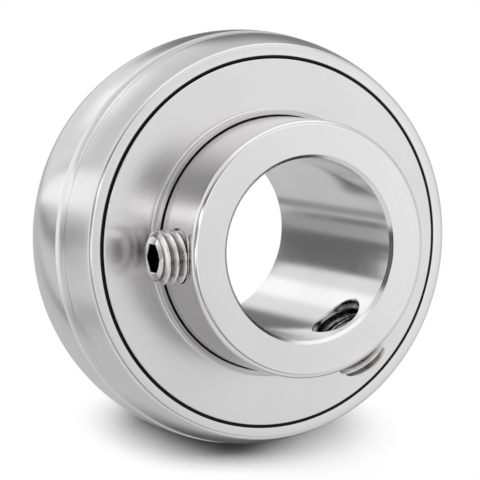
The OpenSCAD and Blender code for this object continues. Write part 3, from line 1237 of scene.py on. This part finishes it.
@dataclass
class Flinger:
    """A sheet-steel disc that turns with the inner ring, with a collar along it.

    Args:
        side: The side of the bearing that it closes.
        radius: Its outside.
        top: Height of its face over the bearing's middle.
        face_round: Rounding of its outer edge towards the face.
        under_round: The same below.
        collar_top: Height of the front collar's rim over the bearing's middle.
        collar_foot: Rounding between the face and the collar.
        collar_bend: Rounding of the collar's inside where it starts to open.
        flare: How far the collar opens at its rim.
        rim_rounds: Roundings of the rim's outside and inside.
        painted_shade: How dark the painted shade on the front collar's outside is.
        painted_shade_start: How high over the face that painted shade starts.
        gap_painted_shade: How dark the painted shade in the gap between the collar and the ring is.
        gap_shade_width: How far from the collar's inside that darker painted shade reaches.
        back_collar: Length of the back disc's collar, which points inwards.
        back_rounds: Roundings of that collar's end and foot.
        bend_parts: Parts of the bend from the sheet to the collar.
        round_parts: Parts of each rounding.
        columns: Points round the disc.
    """

    side: Side
    radius: float = 20.479
    top: float = 8.15
    face_round: float = 0.12
    under_round: float = 0.04
    collar_top: float = 9.1
    collar_foot: float = 0.2
    collar_bend: float = 0.6
    flare: float = 0.14
    rim_rounds: tuple[float, float] = (0.2, 0.14)
    painted_shade: float = 0.2
    painted_shade_start: float = 0.12
    gap_painted_shade: float = 0.85
    gap_shade_width: float = 0.02
    back_collar: float = 1.9
    back_rounds: tuple[float, float] = (0.1, 0.15)
    bend_parts: int = 8
    round_parts: int = 6
    columns: int = 300

    def section(self) -> Array:
        """The disc's section as if it were in front: sheet, foot, and a collar along the inner ring.

        The front collar rises from the face and opens towards its rim. The back one points inwards.

        Returns:
            Rows (r, z, rounding), counter-clockwise.
        """
        under, ring, out = self.top - SHEET, INNER_OUTSIDE, INNER_OUTSIDE + SHEET
        edge = [[self.radius, under, self.under_round], [self.radius, self.top, self.face_round]]
        if self.side is Side.BACK:
            end = under - self.back_collar
            end_round, foot_round = self.back_rounds
            collar = [[ring, end, end_round], [out, end, end_round], [out, under, foot_round]]
            return np.concatenate([edge, arc((out, under), SHEET, 90, 180, self.bend_parts), collar])
        outside, inside = self.rim_rounds
        collar = [
            [out, self.top, self.collar_foot], [out + self.flare, self.collar_top, outside],
            [ring + self.flare, self.collar_top, inside],
            [ring, (self.top + self.collar_top) / 2, self.collar_bend],
        ]
        return np.concatenate([edge, collar, arc((out, self.top), SHEET, 180, 270, self.bend_parts)])

    def build(self) -> None:
        """Builds, dresses and fits the disc, with painted shade on and behind the front one's collar."""
        name = f"flinger_{self.side.name.lower()}"
        outline = rounded(self.section(), steps=self.round_parts)
        if self.side is Side.FRONT:
            # Painted shade: the front collar is darkened, and its inside next to the ring darker still.
            collar = outline[:, 1] > self.top + self.painted_shade_start
            gap = collar & (outline[:, 0] < INNER_OUTSIDE + self.flare + self.gap_shade_width)
            outline[collar, 2] = -self.painted_shade
            outline[gap, 2] = -self.gap_painted_shade
        skin = revolve(outline, self.columns)
        if self.side is Side.BACK:
            skin = skin.flipped()
        fit(make_piece(f"{name}_pressed", [skin]), "inner", name, DISC_STEEL)


@dataclass
class SetScrew:
    """A socket set screw with a rolled M6 x 1 thread, bevelled ends, a hexagon socket and a cup point.

    Args:
        name: Its CAD node.
        body: Its CAD body.
        turn: The angle of its axis in degrees.
        outer_end: Distance of its outer end from the bore's axis.
        length: Its length.
        radius: Radius of the thread's crests.
        thread_depth: Depth of the thread.
        bevel: Length of the bevel at each end.
        face_radius: Radius of the end faces where the bevels start.
        rim_inset: How far inside that the flat part of a face ends.
        dome: How far the outer end's rim lies behind its middle.
        dome_fade: How far behind the bevel that has faded out.
        half_flats: Half the distance between the socket's flats.
        socket_depth: Depth of the socket.
        socket_bevel: Bevel of its mouth.
        mouth_land: How far over the flats the bevel reaches at least.
        drill_depth: Depth of the drill's point below the socket's floor.
        drill_inset: How far inside the flats that point starts.
        cup_radius: Radius of the cup's edge.
        cup_depth: Depth of the cup.
        cup_round: How far outside that radius the cup's edge is rounded.
        step: A short step beside an edge, which keeps its shading sharp.
        root_painted_shade: How dark the painted shade in the thread's roots is.
        cup_painted_shades: How dark the painted shade is in the middle of the cup and at its edge.
        socket_painted_shades: How dark the painted shade is at the socket's mouth, on its walls and on its
            floor.
        columns: Points round the screw.
        rows: Parts along it.
        thread: The thread's form.
    """

    name: str
    body: str
    turn: float
    outer_end: float
    length: float = 5.0
    radius: float = 2.95
    thread_depth: float = 0.56
    bevel: float = 0.48
    face_radius: float = 2.4
    rim_inset: float = 0.06
    dome: float = 0.2
    dome_fade: float = 0.5
    half_flats: float = 1.5
    socket_depth: float = 2.2
    socket_bevel: float = 0.12
    mouth_land: float = 0.2
    drill_depth: float = 0.35
    drill_inset: float = 0.1
    cup_radius: float = 1.5
    cup_depth: float = 0.5
    cup_round: float = 0.02
    step: float = 0.05
    root_painted_shade: float = 0.85
    cup_painted_shades: tuple[float, float] = (0.8, 0.5)
    socket_painted_shades: tuple[float, float, float] = (0.5, 0.85, 0.97)
    columns: int = 120
    rows: int = 100
    thread: Thread = field(default_factory=Thread)

    def hexagon(self, angle: Array, grow: float) -> Array:
        """Radius of a hexagon with flats at angle 0 and every sixth of a turn.

        It is half the distance between flats, plus grow, over the cosine of the angle to the nearest flat.

        Args:
            angle: Angles about the screw's axis.
            grow: How far the flats are moved out.

        Returns:
            One radius an angle.
        """
        sixth = math.pi / 3
        nearest = angle - np.round(angle / sixth) * sixth
        return (self.half_flats + grow) / np.cos(nearest)

    def skin(self) -> Skin:
        """The screw as rings of points from the cup's middle to the socket's.

        A side ring's radius is the smaller of the thread's and the end bevels': the thread's is the screw's
        radius less its depth times (1 - height), and a bevel's grows evenly from the end face's radius. The
        outer end is domed: near it each ring is drawn back by up to dome. Painted shade darkens the thread's
        roots, growing with the cube of the depth below the crests, and the cup and the socket.

        Returns:
            The surface, in place.
        """
        angle = np.arange(self.columns) * FULL_TURN / self.columns
        tip = self.outer_end - self.length
        x = np.linspace(0, self.length, self.rows + 1)[:, None]
        near_end = np.clip(1 - (self.length - x) / (self.bevel + self.dome_fade), 0, 1)
        drawn = x - self.dome * near_end
        full = self.radius - self.thread_depth * (1 - self.thread.height(drawn + tip, angle[None]))
        room = np.minimum(x, self.length - x)
        slope = (self.radius - self.face_radius) / self.bevel
        side = np.minimum(full, self.face_radius + room * slope)
        # Painted shade in the thread's roots, growing with the cube of their depth.
        root_shade = -self.root_painted_shade * np.clip((self.radius - side) / self.thread_depth, 0, 1) ** 3
        flat = np.ones_like(angle)
        rim = self.face_radius - self.rim_inset
        # Painted shade in the cup point and in the hexagon socket.
        cup_middle, cup_edge = self.cup_painted_shades
        mouth, wall, floor = self.socket_painted_shades
        socket = self.hexagon(angle, 0.0)
        bevel_end, socket_end = self.length - self.socket_bevel, self.length - self.socket_depth
        bevelled = np.maximum(self.hexagon(angle, self.socket_bevel), self.half_flats + self.mouth_land)
        rings = [
            (self.cup_depth, 0 * flat, -cup_middle * flat),
            (self.step, flat * (self.cup_radius - self.step), -cup_edge * flat),
            (0.0, flat * (self.cup_radius + self.cup_round), flat),
            (0.0, flat * rim, 0 * flat),
            *zip(drawn[:, 0], side, root_shade),
            (self.length - self.dome, flat * rim, 0 * flat),
            (self.length, bevelled, flat),
            (bevel_end, socket, -mouth * flat),
            (bevel_end - self.step, socket, -wall * flat),
            (socket_end + self.step, socket, -floor * flat),
            (socket_end, self.hexagon(angle, -self.step), -floor * flat),
            (socket_end, flat * (self.half_flats - self.drill_inset), -floor * flat),
            (socket_end - self.drill_depth, 0 * flat, -floor * flat),
        ]
        along = np.array([ring[0] for ring in rings])[:, None] + tip + 0 * angle[None]
        reach = np.stack([ring[1] for ring in rings])
        local = np.stack([along, reach * np.cos(angle)[None], SCREW_Z + reach * np.sin(angle)[None]], axis=-1)
        return loft(local, np.stack([ring[2] for ring in rings])).turned(self.turn)

    def build(self) -> None:
        """Builds, dresses and fits the screw."""
        piece = make_piece(f"{self.name}_threaded", [self.skin()])
        fit(piece, self.body, self.name, SCREW_STEEL)


@dataclass
class RollingSet:
    """The balls, cage halves and rivets, which keep their CAD shapes."""

    nodes: dict[str, bpy.types.Object]

    def build(self) -> None:
        """Dresses each node by its name."""
        finishes = {
            "ball_": (BALL_STEEL, "ball_steel"),
            "cage_": (CAGE_STEEL, "cage_steel"),
            "rivet_": (RIVET_STEEL, "rivet_steel"),
        }
        for name, node in sorted(self.nodes.items()):
            for start, (finish, slot) in finishes.items():
                if name.startswith(start):
                    dress(node, finish)
                    LOG.info("%s: %s", name, finish.name)


# Studio


@dataclass(frozen=True)
class Softbox:
    """A light or flag that the steel mirrors, named by what it does.

    Args:
        name: What it is.
        level: Its brightness.
        heading: Its azimuth in degrees, from -X towards +Y.
        half: Half its width in degrees.
        soft: Width of its soft side edges in degrees.
        low: Height of its lower edge, as the z of a unit direction.
        high: Height of its upper edge.
        height_soft: Half the width of its soft lower and upper edges.
    """

    name: str
    level: float
    heading: float
    half: float
    soft: float
    low: float
    high: float
    height_soft: float = 0.1

    def add_to(self, n: Nodes, behind: object) -> Socket:
        """Adds the light to the world's nodes.

        Its soft edge lies half inside and half outside its width, and a heading counts from -X towards +Y, so
        its direction is (-cos a, sin a, 0).

        Args:
            n: The world's nodes.
            behind: The brightness without the light.

        Returns:
            The brightness with it.
        """
        a = math.radians(self.heading)
        node = n.group(
            softbox_group(),
            Behind=behind,
            Level=self.level,
            Heading=(-math.cos(a), math.sin(a), 0.0),
            Outer_Cosine=math.cos(math.radians(min(180.0, self.half + self.soft / 2))),
            Inner_Cosine=math.cos(math.radians(max(0.0, self.half - self.soft / 2))),
            Low=self.low,
            High=self.high,
            Height_Soft=self.height_soft,
        )
        node.label = self.name
        return node.outputs["Brightness"]


def facing(back: Vector, up: Vector) -> Matrix:
    """The turn of a camera or lamp, whose own axes point right, up and back.

    Right is up cross back, and its own up is back cross right, each at unit length.

    Args:
        back: The direction against the one that it looks in.
        up: Any direction on its upper side.

    Returns:
        The turn as a 3 by 3 matrix.
    """
    back = back.normalized()
    right = up.cross(back).normalized()
    return Matrix((right, back.cross(right), back)).transposed()


def stage_panel(
    name: str, x: tuple[float, float], y: tuple[float, float], z: float
) -> tuple[bpy.types.Object, Nodes]:
    """Adds a level stage panel with an empty material.

    Args:
        name: Its name.
        x: Its ends along x.
        y: Its ends along y.
        z: Its height.

    Returns:
        The panel and its material's nodes.
    """
    corners = np.array([(x[0], y[0], z), (x[1], y[0], z), (x[1], y[1], z), (x[0], y[1], z)]) * MM
    mesh = bpy.data.meshes.new(name)
    mesh.from_pydata(corners.tolist(), [], [(0, 1, 2, 3)])
    panel = bpy.data.objects.new(name, mesh)
    bpy.context.scene.collection.objects.link(panel)
    made, nodes = new_material(name)
    mesh.materials.append(made)
    return panel, nodes


@dataclass(frozen=True)
class Oval:
    """A tilted ellipse on a level panel.

    Args:
        centre: Its centre as (x, y).
        radii: Its radii along x and y.
        fall: How much lower in y it lies for each millimetre further along x.
    """

    centre: tuple[float, float]
    radii: tuple[float, float]
    fall: float = 0.0

    def reach(self, n: Nodes, place: Socket) -> Socket:
        """Adds a place's distance from the centre, as a share of the oval's own size in that direction.

        With x and y counted from the centre, it is the length of (x / radius, (y + fall times x) / radius).

        Args:
            n: The nodes to add to.
            place: Object coordinates.

        Returns:
            The share, which is 0 at the centre and 1 on the oval.
        """
        away = n.vector("SUBTRACT", place, (self.centre[0] * MM, self.centre[1] * MM, 0.0))
        east = n.add("ShaderNodeSeparateXYZ", {0: away}).outputs["X"]
        lift = n.add("ShaderNodeCombineXYZ", {1: n.math("MULTIPLY", east, self.fall)}).outputs[0]
        scale = (1 / (self.radii[0] * MM), 1 / (self.radii[1] * MM), 0.0)
        return n.vector("LENGTH", n.vector("MULTIPLY", n.vector("ADD", away, lift), scale), output="Value")


@dataclass
class WhiteTable:
    """The white table that the bearing stands on.

    The camera sees the lamp's shadow on it near one oval, plain white further out, and nothing of it from
    below. Steel mirrors a painted shadow on it, a dark glowing patch where the bearing's contact shadow
    lies, and the lights below it elsewhere.

    Args:
        z: Its height.
        half: Half its width.
        grey: Its brightness where the shadow falls.
        shadow: The oval about the shadow.
        shadow_fade: Where the shadow gives way to white, as shares of that oval.
        patch: The oval about the painted shadow that steel mirrors.
        painted_shadow_fade: Where the painted shadow ends, as shares of that oval.
        painted_shadow_level: The painted shadow's brightness.
    """

    z: float = NARROW_END
    half: float = 1500.0
    grey: float = 0.8
    shadow: Oval = Oval((3.1, -26.0), (25.0, 9.0), 0.107)
    shadow_fade: tuple[float, float] = (0.55, 1.0)
    patch: Oval = Oval((8.0, -28.0), (21.5, 10.0))
    painted_shadow_fade: tuple[float, float] = (0.6, 1.3)
    painted_shadow_level: float = 0.08

    def build(self) -> None:
        """Builds the table."""
        _, n = stage_panel("white_table", (-self.half, self.half), (-self.half, self.half), self.z)
        place = n.add("ShaderNodeTexCoord").outputs["Object"]
        path = n.add("ShaderNodeLightPath").outputs
        clear = n.add("ShaderNodeBsdfTransparent").outputs[0]
        matt = n.add("ShaderNodeBsdfDiffuse", {"Color": colour(self.grey)}).outputs[0]
        white = n.add("ShaderNodeEmission", {"Strength": 1.0}).outputs[0]
        # Painted shadow: a dark glowing patch that steel mirrors in place of the contact shadow.
        dark = n.add("ShaderNodeEmission", {"Strength": self.painted_shadow_level}).outputs[0]
        fill = n.span(self.shadow.reach(n, place), *self.shadow_fade)
        seen = n.blend(n.math("MULTIPLY", fill, path["Is Camera Ray"]), matt, white)
        mirrored = n.blend(n.span(self.patch.reach(n, place), *self.painted_shadow_fade), dark, clear)
        shader = n.blend(path["Is Glossy Ray"], seen, mirrored)
        behind = n.add("ShaderNodeNewGeometry").outputs["Backfacing"]
        n.surface(n.blend(n.math("MULTIPLY", behind, path["Is Camera Ray"]), shader, clear))


@dataclass
class DarkCard:
    """The dark card below the bore that its wall mirrors, which only the steel sees.

    The wall is a hollow mirror, so the view's rays cross on one upright line and fan out from it below. The
    card's two dark leaves and the stripe on them are therefore laid out by the heading from that line, in
    degrees from -X towards +Y.

    Args:
        z: Its height.
        x: Its ends along x.
        y: Its ends along y.
        line: The upright line's (x, y).
        rim: Distances from the line over which both leaves end.
        first_rise: Headings over which the first leaf starts.
        first_fall: Headings over which it ends.
        second_rise: Headings over which the second leaf starts.
        second_fall: Headings over which it ends.
        second_start: Distances from the line over which the second leaf starts.
        leaf_level: Brightness of the leaves.
        stripe: Heading of the stripe's middle.
        stripe_half: Degrees beside it over which the stripe ends.
        stripe_level: Brightness of the stripe.
    """

    z: float = -20.0
    x: tuple[float, float] = (-16.0, 26.0)
    y: tuple[float, float] = (-20.0, 18.0)
    line: tuple[float, float] = (5.0, -1.2)
    rim: tuple[float, float] = (15.0, 18.0)
    first_rise: tuple[float, float] = (-38.5, -35.0)
    first_fall: tuple[float, float] = (31.0, 38.0)
    second_rise: tuple[float, float] = (-160.0, -150.0)
    second_fall: tuple[float, float] = (-90.0, -72.0)
    second_start: tuple[float, float] = (8.4, 10.4)
    leaf_level: float = 0.15
    stripe: float = -19.0
    stripe_half: tuple[float, float] = (7.5, 11.0)
    stripe_level: float = 0.38

    def build(self) -> None:
        """Builds the card."""
        card, n = stage_panel("dark_card", self.x, self.y, self.z)
        card.visible_camera = card.visible_diffuse = card.visible_shadow = False
        place = n.add("ShaderNodeTexCoord").outputs["Object"]
        away = n.vector("SUBTRACT", place, (self.line[0] * MM, self.line[1] * MM, self.z * MM))
        xyz = n.add("ShaderNodeSeparateXYZ", {0: away}).outputs
        heading = n.math("DEGREES", n.math("ARCTAN2", xyz["Y"], n.math("MULTIPLY", xyz["X"], -1.0)))
        far = n.math("DIVIDE", n.vector("LENGTH", away, output="Value"), MM)
        first = n.band(heading, self.first_rise, self.first_fall)
        second = n.band(heading, self.second_rise, self.second_fall)
        second = n.math("MULTIPLY", second, n.span(far, *self.second_start))
        leaves = n.math("MULTIPLY", n.span(far, *self.rim, 1.0, 0.0), n.math("MAXIMUM", first, second))
        beside = n.math("ABSOLUTE", n.math("SUBTRACT", heading, self.stripe))
        level = n.span(beside, *self.stripe_half, self.stripe_level, self.leaf_level)
        dark = n.add("ShaderNodeEmission", {"Strength": level}).outputs[0]
        n.surface(n.blend(leaves, n.add("ShaderNodeBsdfTransparent").outputs[0], dark))


@dataclass
class ShadowLamp:
    """The wide lamp above and behind the bearing that casts its shadow, which the steel doesn't mirror.

    Args:
        place: Its place. It shines at the bearing's middle.
        size: Its width, which is level, and its height.
        energy: Its power in watts.
    """

    place: tuple[float, float, float] = (-210.0, 190.0, 600.0)
    size: tuple[float, float] = (620.0, 90.0)
    energy: float = 7.0

    def build(self) -> None:
        """Builds the lamp."""
        light = bpy.data.lights.new("shadow_lamp", "AREA")
        light.shape = "RECTANGLE"
        light.size, light.size_y = self.size[0] * MM, self.size[1] * MM
        light.energy = self.energy
        lamp = bpy.data.objects.new("shadow_lamp", light)
        bpy.context.scene.collection.objects.link(lamp)
        lamp.location = Vector(self.place) * MM
        lamp.rotation_mode = "QUATERNION"
        lamp.rotation_quaternion = facing(lamp.location, Vector((0.0, 1.0, 0.0))).to_quaternion()
        lamp.visible_glossy = lamp.visible_camera = False


@dataclass
class PhotoCamera:
    """The camera at the photograph's viewpoint.

    Args:
        lens: Its focal length.
        sensor: Its sensor's width.
        near: The nearest that it sees.
        far: The furthest.
        eye: Its place.
        ahead: The direction that it looks in, as a unit vector.
        up: The picture's upward direction, as a unit vector.
    """

    lens: float = 225.0
    sensor: float = 36.0
    near: float = 10.0
    far: float = 20000.0
    eye: tuple[float, float, float] = (-150.89, 37.16, 303.94)
    ahead: tuple[float, float, float] = (0.44213, -0.11003, -0.89018)
    up: tuple[float, float, float] = (0.07703, 0.99344, -0.08453)

    def build(self) -> None:
        """Builds the camera and makes it the scene's."""
        data = bpy.data.cameras.new("camera")
        data.sensor_width, data.lens = self.sensor, self.lens
        data.clip_start, data.clip_end = self.near * MM, self.far * MM
        camera = bpy.data.objects.new("camera", data)
        bpy.context.scene.collection.objects.link(camera)
        turn = facing(-Vector(self.ahead), Vector(self.up)).to_4x4()
        camera.matrix_world = Matrix.Translation(Vector(self.eye) * MM) @ turn
        bpy.context.scene.camera = camera


@dataclass
class Studio:
    """The room that the steel mirrors, with its table, card, lamp and camera.

    Args:
        base_level: Brightness between the softboxes.
        diffuse_level: Brightness of the even light on what doesn't mirror.
        softboxes: The lights and flags, each painted over those before it.
    """

    base_level: float = 0.74
    diffuse_level: float = 0.03
    # Each has its name, level, heading, half, soft, low, high and, where it isn't 0.1, height_soft.
    softboxes: tuple[Softbox, ...] = (
        Softbox("window below", 1.08, 74, 38, 10, -1.3, -0.4),
        Softbox("window's core", 1.45, 72, 13, 12, -1.3, -0.4),
        Softbox("strip below", 1.38, 21, 9, 8, -1.3, -0.4),
        Softbox("narrow flag below", 0.36, -4, 4, 6, -1.3, -0.73, 0.04),
        Softbox("narrow flag's upper end", 0.5, 1, 3, 6, -0.73, -0.4, 0.04),
        Softbox("gap between the flags", 0.85, -25, 11, 8, -1.3, -0.4),
        Softbox("narrow flag's foot", 0.4, -3, 7, 8, -1.3, -0.935, 0.015),
        Softbox("second narrow flag below", 0.38, -45, 4, 6, -1.3, -0.73, 0.04),
        Softbox("second narrow flag's upper end", 0.6, -34, 5, 6, -0.73, -0.4, 0.04),
        Softbox("flag behind the window", 0.24, 141, 23, 10, -1.3, -0.7),
        Softbox("window's foot", 1.0, 110, 60, 20, -1.3, -0.925, 0.02),
        Softbox("dim corner below", 0.42, 176, 10, 8, -1.3, -0.3),
        Softbox("window's far end", 0.84, 86, 52, 16, -0.7, -0.4, 0.1),
        Softbox("far horizon", 0.9, 180, 105, 30, -0.42, 0.6, 0.08),
        Softbox("light table", 0.88, 0, 95, 30, -0.42, -0.02, 0.05),
        Softbox("light table's core", 1.3, 18, 36, 24, -0.42, -0.02, 0.05),
        Softbox("front wall", 0.95, 0, 75, 30, 0.02, 0.6, 0.05),
        Softbox("dim near side", 0.42, -113, 32, 24, -0.42, -0.02, 0.06),
        Softbox("dark wall", 0.05, 9, 29, 12, 0.39, 0.55, 0.03),
        Softbox("side window", 1.45, 98, 34, 24, -0.3, 0.5, 0.1),
        Softbox("ceiling", 0.38, 0, 180, 1, 0.62, 1.1, 0.06),
        Softbox("ceiling flag", 0.17, 44, 20, 16, 0.62, 1.1, 0.06),
        Softbox("ceiling window", 0.82, 121, 28, 44, 0.62, 1.1, 0.06),
        Softbox("ceiling slope", 1.38, 150, 54, 60, 0.6, 0.94, 0.12),
        Softbox("zenith", 1.3, 0, 180, 1, 0.95, 1.3, 0.03),
        Softbox("cornice", 1.0, 183, 135, 24, 0.56, 0.77, 0.05),
        Softbox("ceiling strip", 2.6, 25, 5, 6, 0.66, 1.3, 0.04),
        Softbox("ceiling strip over the screw", 1.8, -9, 7, 6, 0.7, 1.3, 0.04),
    )

    def world(self) -> None:
        """Makes the world: white to the camera, softboxes to steel, and a faint even light for the rest.

        The even light also holds for what steel mirrors after a ray has left a matt surface, so that the
        softboxes don't brighten the shadow.
        """
        world = bpy.data.worlds.new("studio")
        bpy.context.scene.world = world
        world.use_nodes = True
        n = Nodes(world.node_tree)
        level: object = self.base_level
        for softbox in self.softboxes:
            level = softbox.add_to(n, level)
        path = n.add("ShaderNodeLightPath").outputs
        camera = path["Is Camera Ray"]
        level = n.math("ADD", n.math("MULTIPLY", level, n.math("SUBTRACT", 1.0, camera)), camera)
        even = n.math("SUBTRACT", self.diffuse_level, level)
        matt = n.math("MINIMUM", n.math("ADD", path["Is Diffuse Ray"], path["Diffuse Depth"]), 1.0)
        background = n.add("ShaderNodeBackground", {"Strength": n.math("MULTIPLY_ADD", even, matt, level)})
        n.add("ShaderNodeOutputWorld", {"Surface": background.outputs[0]})

    def build(self) -> None:
        """Builds the whole studio."""
        bpy.context.scene.view_settings.view_transform = "Standard"
        PhotoCamera().build()
        self.world()
        WhiteTable().build()
        DarkCard().build()
        ShadowLamp().build()
        LOG.info("studio: %d softboxes", len(self.softboxes))


def main() -> None:
    """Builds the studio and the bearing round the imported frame."""
    logging.basicConfig(level=logging.INFO, format="%(name)s: %(message)s")
    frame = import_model()
    Studio().build()
    OuterRing().build()
    InnerRing().build()
    Seal(Side.FRONT, run_radius=INNER_OUTSIDE).build()
    Seal(Side.BACK, run_radius=INNER_OUTSIDE + SHEET).build()
    Flinger(Side.FRONT).build()
    Flinger(Side.BACK).build()
    SetScrew("set_screw_a", "screw_a", SCREW_TURNS[0], outer_end=16.971).build()
    SetScrew("set_screw_b", "screw_b", SCREW_TURNS[1], outer_end=16.471).build()
    RollingSet(frame["nodes"]).build()


if __name__ == "__main__":
    main()
